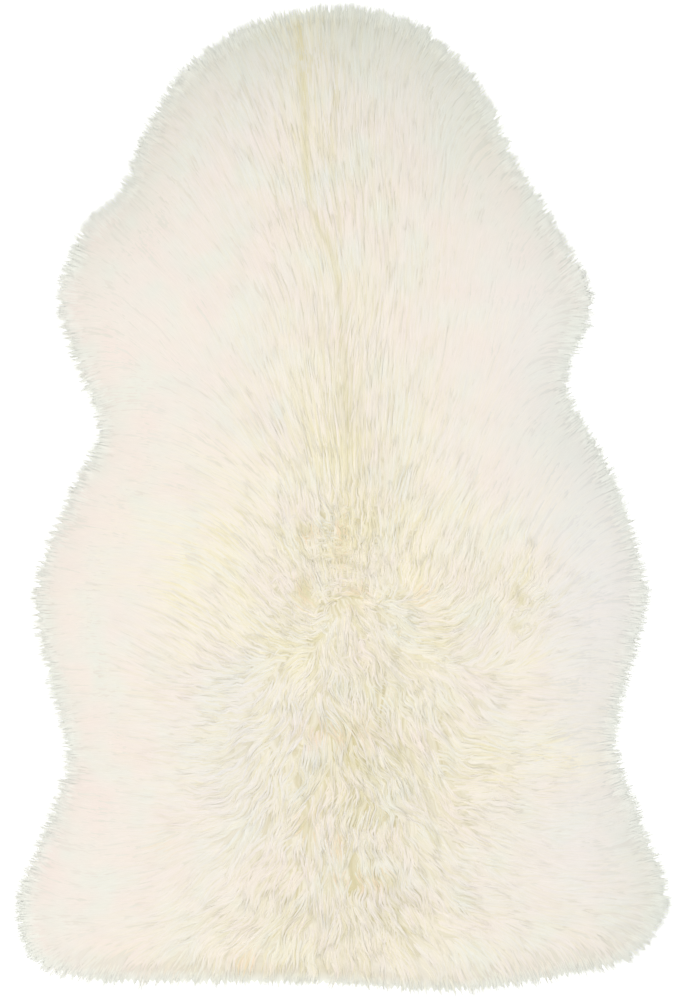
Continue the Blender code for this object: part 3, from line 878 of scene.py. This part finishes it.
# %% The mesh of the strands
def strand_mesh(name, centre, at, width, thickness, roll, own_round, marks):
    """A mesh of closed three-sided strands.

    centre holds each strand's points, the first being its root and the last its tip, and at says how far along
    the strand each of them lies. own_round is how round each strand looks: 0 takes the light as the coat's
    surface does, and 1 as a stick does. Each strand has its own island on the map OFBake.
    """
    count, points, _ = centre.shape
    rings = points - 2
    each = rings * 3 + 2
    run = np.empty_like(centre)
    run[:, 1:-1] = centre[:, 2:] - centre[:, :-2]
    run[:, 0], run[:, -1] = centre[:, 1] - centre[:, 0], centre[:, -1] - centre[:, -2]
    run = normalised(run)
    on = centre[..., :2]
    side = normalised(np.cross(run, np.stack([read(lay_x, on), read(lay_y, on), np.ones((count, points))], -1)))
    up = np.cross(side, run)
    cos, sin = np.cos(roll)[:, None, None], np.sin(roll)[:, None, None]
    side, up = side * cos + up * sin, up * cos - side * sin
    inner = slice(1, -1)
    off = (
        side[:, inner, None] * (SECTION[:, 0] * width[:, inner, None])[..., None]
        + up[:, inner, None] * (SECTION[:, 1] * thickness[:, inner, None])[..., None]
    )
    corners = (centre[:, inner, None] + off).reshape(count, rings * 3, 3)
    places = np.concatenate([centre[:, :1], corners, centre[:, -1:]], 1)
    places[..., 2] = np.maximum(places[..., 2], FLOOR_GAP)

    coat = np.stack([read(chart, places[..., :2]) for chart in coat_normal], -1)
    stick = side[:, inner, None] * STICK[:, :1] + up[:, inner, None] * STICK[:, 1:]
    stick = np.concatenate([up[:, :1], stick.reshape(count, rings * 3, 3), up[:, -1:]], 1)
    normal = normalised(normalised(coat) * (1 - own_round)[:, None, None] + stick * own_round[:, None, None])
    under = -np.concatenate([up[:, :1], np.repeat(up[:, inner], 3, axis=1), up[:, -1:]], 1)

    sizes, corner_of, around, along = strand_faces(rings)
    mesh = bpy.data.meshes.new(name)
    mesh.vertices.add(count * each)
    mesh.vertices.foreach_set("co", places.ravel())
    loops = (np.arange(count)[:, None] * each + corner_of).ravel()
    mesh.loops.add(len(loops))
    mesh.loops.foreach_set("vertex_index", loops.astype(np.int32))
    starts = np.arange(count)[:, None] * len(corner_of) + np.concatenate([[0], np.cumsum(sizes)[:-1]])
    mesh.polygons.add(count * len(sizes))
    mesh.polygons.foreach_set("loop_start", starts.ravel().astype(np.int32))
    mesh.update(calc_edges=True)
    beneath = np.repeat(np.resize([True, False, False], len(sizes)), sizes)
    face_light(mesh, np.where(beneath[None, :, None], under[:, corner_of], normal[:, corner_of]))

    along = np.asarray(at)[along]
    shift = draw.uniform(0, 40, (count, 2))  # anywhere in the streaks' pattern, so that no two strands match
    lay_map(mesh, "strand", np.stack(np.broadcast_arrays(shift[:, :1] + around / 3, shift[:, 1:] + along), -1))
    cells = math.ceil(math.sqrt(count))
    cell = np.stack([np.arange(count) % cells, np.arange(count) // cells], 1)[:, None]
    inner_cell = ISLAND_EDGE + (1 - 2 * ISLAND_EDGE) * np.stack([around / 3, along], -1)
    lay_map(mesh, "OFBake", (cell + inner_cell[None]) / cells)
    mesh.uv_layers.active = mesh.uv_layers["OFBake"]
    ring_of = np.concatenate([[0], np.repeat(np.arange(1, points - 1), 3), [points - 1]])
    for mark, values in marks.items():
        carry(mesh, mark, values[:, ring_of] if values.ndim == 2 else np.repeat(values, each))
    mesh.materials.append(wool)
    return mesh


# %% What the strands are like
SHORT = np.array((0.0, 0.48, 1.0))
STRAIGHT = np.array((0.0, 0.20, 0.52, 0.82, 1.0))
CRIMPED = np.array((0.0, 0.10, 0.23, 0.37, 0.50, 0.63, 0.77, 0.90, 1.0))
GIRTH = ((0.0, 0.06, 0.2, 0.4, 0.65, 0.85, 0.95, 1.0), (0.0, 0.6, 0.92, 1.0, 0.85, 0.5, 0.25, 0.0))
HABIT = {  # how each thing about a strand is in smooth wool and in crisp wool
    "width": (0.0030, 0.0015),
    "flatness": (0.12, 0.50),
    "round": (0.05, 0.46),
    "closing": (0.10, 0.30),
    "level": (0.0002, 0.0014),
    "lock_level": (0.0001, 0.0007),
    "lift": (0.0001, 0.0014),
    "dip": (0.0005, 0.0024),
    "crown": (0.0001, 0.0008),
    "tone": (0.25, 1.10),
}
TWIST = {  # and in straight wool and in curly wool
    "length": (0.058, 0.034),
    "stray": (0.045, 0.14),
    "sway": (0.03, 0.55),
    "wander": (0.0006, 0.0005),
}

print("strands with", [len(s) - 2 for s in (SHORT, STRAIGHT, CRIMPED)], "rings")

# %% How much the strands differ
VARY = {"length": (0.82, 1.18), "sway": (0.6, 1.3), "width": (0.7, 1.3)}  # from the least to the most
STRAY_SHARED, STRAY_OWN = 0.7, 0.6  # how much a lock strays as its neighbours do, and how much on its own
TONE_OWN, TONE_SHARED = 0.6, 0.4  # how much of a strand's lightness is its own, and how much is its lock's
PHASE_STRAY = 0.5  # how far a lock's wave runs out of step with its neighbours', in radians
LOOK = 0.06  # how far ahead and behind a strand's direction is taken, as a share of its path
SWING = 2.2 * np.pi  # how much of a wave each strand makes within its lock
LIFT_FROM, DIP_TO = 0.3, 0.25  # where along a strand its tip starts to lift, and where its root has come up
ROLL = 0.3  # how far a strand is rolled about its own length, in radians
CALM_RIM = 0.03  # nearer the rim than this, the locks lie ever more level
PARTING_SINK, PIT_SINK = 0.0005, 0.0012  # how deep the parting and the small hollows are
LOWEST = 0.0012
TINT_STRAY = 0.004  # how far off a strand may take its tints from, so that no tint has an edge
PEACH_UNEVEN = (0.0, 2.0)
WARM_BY_DEPTH = (0.55, 0.9)  # how much of the yellow the topmost strands take, and how much more the deepest: that extra yellow is painted shade


# %% Growing a piece of the coat
def grow(name, roots, per_lock, lock_width, sections, shortest=0.70, overrun=(-0.012, -0.002), **special):
    """Grows a lock of strands on each root, and returns them all as one piece."""
    locks = len(roots)
    crisp, curl = read(crisp_chart, roots), read(curl_chart, roots)
    habit = {key: low + (high - low) * crisp for key, (low, high) in HABIT.items()}
    habit |= {key: low + (high - low) * curl for key, (low, high) in TWIST.items()}
    path = walk(
        roots,
        special.get("length", habit["length"]) * draw.uniform(*VARY["length"], locks),
        (STRAY_SHARED * read(stray_chart, roots) + STRAY_OWN * draw.normal(0, 1, locks))
        * special.get("stray", habit["stray"]),
        special.get("sway", habit["sway"]) * draw.uniform(*VARY["sway"], locks),
        draw.normal(0, PHASE_STRAY, locks),
        special.get("pace", 1.0),
    )
    lock_tone, lock_level = draw.uniform(0, 1, locks), draw.uniform(-1, 1, locks) * habit["lock_level"]
    count = locks * per_lock
    lock = np.repeat(np.arange(locks), per_lock)
    path = path[lock]
    own = {key: values[lock] for key, values in habit.items()}
    share = draw.uniform(shortest, 1.0, count) * cut_at_rim(path, draw.uniform(*overrun, count))
    steps = sections[None] * share[:, None]
    plan = along_path(path, steps)
    ahead = normalised(along_path(path, np.minimum(steps + LOOK, 1.0)) - along_path(path, steps - LOOK))
    beside = np.stack([-ahead[..., 1], ahead[..., 0]], -1)
    aside = draw.uniform(-1, 1, count)
    spread = 1 - own["closing"][:, None] * ease(sections)[None]
    swing = np.sin(SWING * sections[None] + draw.uniform(0, 2 * np.pi, (count, 1)))
    offset = aside[:, None] * lock_width / 2 * spread + (draw.normal(0, 1, count) * own["wander"])[:, None] * swing
    plan = plan + beside * offset[..., None]
    depth = draw.uniform(0, 1, count)
    height = read(height_chart, plan)
    if "low_level" in special:
        height = height * (special["low_level"] + (1 - special["low_level"]) * np.sqrt(depth[:, None]))
    raised = lock_level[lock] - own["level"] * depth - own["crown"] * aside**2
    raised = raised[:, None] + own["lift"][:, None] * ease((sections - LIFT_FROM) / (1 - LIFT_FROM))[None]
    sunk = own["dip"][:, None] * (1 - ease(sections / DIP_TO))[None]
    free = ease(read(inset_chart, plan) / CALM_RIM)
    pitted = read(pit_chart, plan)
    height = height + (raised - sunk) * free - PARTING_SINK * parted(plan) - PIT_SINK * pitted
    centre = np.concatenate([plan, np.maximum(height, LOWEST)[..., None]], 2)
    full = own["width"] * special.get("girth", 1.0) * draw.uniform(*VARY["width"], count)
    width = np.interp(sections, *GIRTH)[None] * full[:, None]
    tone = 0.5 + own["tone"] * (TONE_OWN * draw.uniform(-0.5, 0.5, count) + TONE_SHARED * (lock_tone[lock] - 0.5))
    felt = plan + draw.normal(0, TINT_STRAY, (count, 1, 2))
    tinted = draw.uniform(*PEACH_UNEVEN, (count, 1))
    # Deeper strands of crisp locks and of the gap shade's spots are painted darker and yellower, as shade between
    # the locks; the parting and the hollows add the same painted shade.
    painted_shade_share = crisp[lock][:, None] + read(gap_shade_chart, plan)
    # Of these marks, deep is painted shade, cool a painted grey shade in from the rim, and tips a painted light.
    marks = {
        "strand": tone,
        "deep": np.minimum(depth[:, None] * painted_shade_share + parted(plan) + pitted, 1.0),
        "warm": read(warm_chart, felt) * (WARM_BY_DEPTH[0] + WARM_BY_DEPTH[1] * depth[:, None]),
        "peach": np.minimum(read(peach_chart, felt) * tinted, 1.0),
        "cool": read(grey_shade_chart, felt),
        "tips": read(rim_light_chart, plan),
        "lilac": read(lilac_chart, felt),
    }
    thickness = width * own["flatness"][:, None]
    roll = draw.normal(0, ROLL, count) * own["round"]
    mesh = strand_mesh(name, centre, sections, width, thickness, roll, own["round"], marks)
    piece = bpy.data.objects.new(name, mesh)
    bpy.context.scene.collection.objects.link(piece)
    mesh.calc_loop_triangles()
    print(name, locks, "locks,", count, "strands,", len(mesh.loop_triangles), "triangles")
    return piece


# %% [markdown]
# ## Setting the rim and the coat
# A wig maker sets the edge first. Three rings of fine straight locks lean out past the hide, and their tips end
# unevenly about the rim, as wool does that was never cut. Over the neck, the shoulders and the flanks the coat is a
# few broad, nearly straight strands a lock. From the croup to the tail the locks are curly, and set closer where
# the coat fans out, so that no bare place opens between them. Short tight curls fill the whorl on the croup, a
# tuft beside it and the knot in which the parting ends.

# %% Setting the rim
RIM_RINGS = ((0.036, 400), (0.043, 390), (0.050, 380))  # how far inside the rim, and how many locks
RIM_SCATTER = 0.003
RIM_HABIT = {"per_lock": 21, "lock_width": 0.012, "sections": SHORT, "shortest": 0.94}
RIM_HABIT |= {"overrun": (-0.011, 0.0075), "low_level": 0.35, "girth": 0.60}

rim_roots = np.concatenate([ring_inside(inset, count) for inset, count in RIM_RINGS])
rim_roots = rim_roots + draw.uniform(-RIM_SCATTER, RIM_SCATTER, rim_roots.shape)
coat = [grow("wool_rim", rim_roots, **RIM_HABIT)]

# %% Setting the coat
COAT_STEP, FAN_STEP = 0.0094, 0.0060  # from lock to lock, and between the further ones where the coat fans out
COAT_INSET = 0.044
FAN_SHARE = 0.011  # how likely a further lock is where the coat fans out by one in a metre
CURLY_FROM = 0.30  # the curl from which wool is set as curly locks
STRAIGHT_PIECES = (("wool_front", 0.045, 1.0), ("wool_hind", -1.0, 0.045))  # from where to where along the rug
CURLY_PIECES = (("wool_croup", -0.165, 1.0), ("wool_loin_end", -0.28, -0.165), ("wool_tail", -1.0, -0.28))
STRAIGHT_HABIT = {"per_lock": 4, "lock_width": 0.013, "sections": STRAIGHT, "girth": 1.1}
CURLY_HABIT = {"per_lock": 6, "lock_width": 0.011, "sections": CRIMPED, "girth": 1.05}

sparse, dense, more = (lattice(step, COAT_INSET) for step in (COAT_STEP, COAT_STEP, FAN_STEP))
more = more[draw.uniform(0, 1, len(more)) < read(fanning, more) * FAN_SHARE]
dense = np.concatenate([dense, more])
straight = sparse[read(curl_chart, sparse) <= CURLY_FROM]
curly = dense[read(curl_chart, dense) > CURLY_FROM]
extra = int((read(curl_chart, more) > CURLY_FROM).sum())
print(len(curly), "curly locks, of which", extra, "where the coat fans out")
for pieces, roots, habit in ((STRAIGHT_PIECES, straight, STRAIGHT_HABIT), (CURLY_PIECES, curly, CURLY_HABIT)):
    for name, low, high in pieces:
        coat.append(grow(name, roots[(roots[:, 1] > low) & (roots[:, 1] <= high)], **habit))

# %% Setting the tight curls
TIGHT_CURLS = (  # the middle, how widely they scatter, how many they are, and how tight
    ((0.004, -0.085), (0.028, 0.028), 190, 0.0),
    ((0.168, -0.108), (0.010, 0.018), 40, 0.0),
    ((-0.001, -0.038), (0.006, 0.016), 80, 1.0),
)

curls = [np.array(middle) + draw.normal(0, 1, (count, 2)) * spread for middle, spread, count, _ in TIGHT_CURLS]
tight = np.repeat([row[3] for row in TIGHT_CURLS], [row[2] for row in TIGHT_CURLS])
habit = {"per_lock": 5, "lock_width": 0.005, "sections": CRIMPED, "sway": 1.0, "girth": 0.8}
habit |= {"length": 0.020 - 0.007 * tight, "stray": 0.9 + 0.3 * tight, "pace": 2.0 + tight}
coat.append(grow("wool_whorl", np.concatenate(curls), **habit))

# %% [markdown]
# ## Floor and light
# A plain pale floor that glows white by itself, as a light table does, so that no shadow greys it. The light is
# soft: one large softbox above the camera for the even brightness, a warm one low at the left, so that each lock
# has a lighter and a darker side, and a weak cool one low at the right to fill it. Round about, the world is bright
# white near the horizon, as a studio's paper sweep is: it lights the wool's steep sides, and it is what shows above
# the floor from a low angle.

# %% The floor
FLOOR_SIZE = 30

bpy.ops.object.select_all(action="DESELECT")
bpy.ops.mesh.primitive_plane_add(size=FLOOR_SIZE, location=(0, 0, 0))
floor = bpy.context.active_object
floor.name = floor.data.name = "floor"
paint, paint_shader = start_material("matt white paint")
glow = {"Base Color": hex_colour("959595"), "Emission Color": hex_colour("FFFFFF"), "Emission Strength": 1.0}
for name, value in {**glow, "Roughness": 0.9}.items():
    paint_shader.inputs[name].default_value = value
floor.data.materials.append(paint)
print("floor", FLOOR_SIZE, "m wide")


# %% The lights
def softbox(name, place, size, power, tint=(1.0, 1.0, 1.0)):
    """A square area light that looks at the middle of the rug."""
    light = bpy.data.lights.new(name, "AREA")
    light.size, light.energy, light.color = size, power, tint
    lamp = bpy.data.objects.new(name, light)
    lamp.location = place
    lamp.rotation_euler = (-Vector(place)).to_track_quat("-Z", "Y").to_euler()
    bpy.context.scene.collection.objects.link(lamp)


SWEEP_TOP = (0.0, 0.10)  # the world's white band near the horizon fades out between these heights: sines of the angle above level
SWEEP_LIGHT = 1.0
ROOM_LIGHT = 0.25

softbox("overhead softbox", (-0.1, -0.1, 4.2), 1.4, 109)
softbox("low softbox", (-1.9, -1.5, 2.2), 1.4, 12, (1.0, 0.96, 0.92))
softbox("cool softbox", (2.2, -0.4, 2.0), 1.4, 6, (0.80, 0.91, 1.0))
world = bpy.data.worlds.new("studio")
world.use_nodes = True
backdrop = world.node_tree.nodes["Background"]
backdrop.inputs["Color"].default_value = (0.995, 0.99, 0.975, 1.0)
direction = add(world, "TexCoord").outputs["Generated"]
rise = add(world, "SeparateXYZ", {"Vector": direction}).outputs["Z"]
ends = {"From Min": SWEEP_TOP[0], "From Max": SWEEP_TOP[1], "To Min": SWEEP_LIGHT, "To Max": ROOM_LIGHT}
fade = add(world, "MapRange", ends | {"Value": rise})
world.node_tree.links.new(fade.outputs["Result"], backdrop.inputs["Strength"])
bpy.context.scene.world = world
bpy.context.scene.view_settings.view_transform = "Standard"

# %% Bringing the pieces to the frame
wool_pieces = [bed] + coat
for piece in wool_pieces:
    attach(piece, "root")
    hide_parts("sheepskin")
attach(hide, "root")
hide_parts("sheepskin")
print(len(wool_pieces) + 1, "pieces ride on the root")

# %% Triangulating the pieces, and the end
for piece in wool_pieces + [hide]:
    piece.data.calc_loop_triangles()
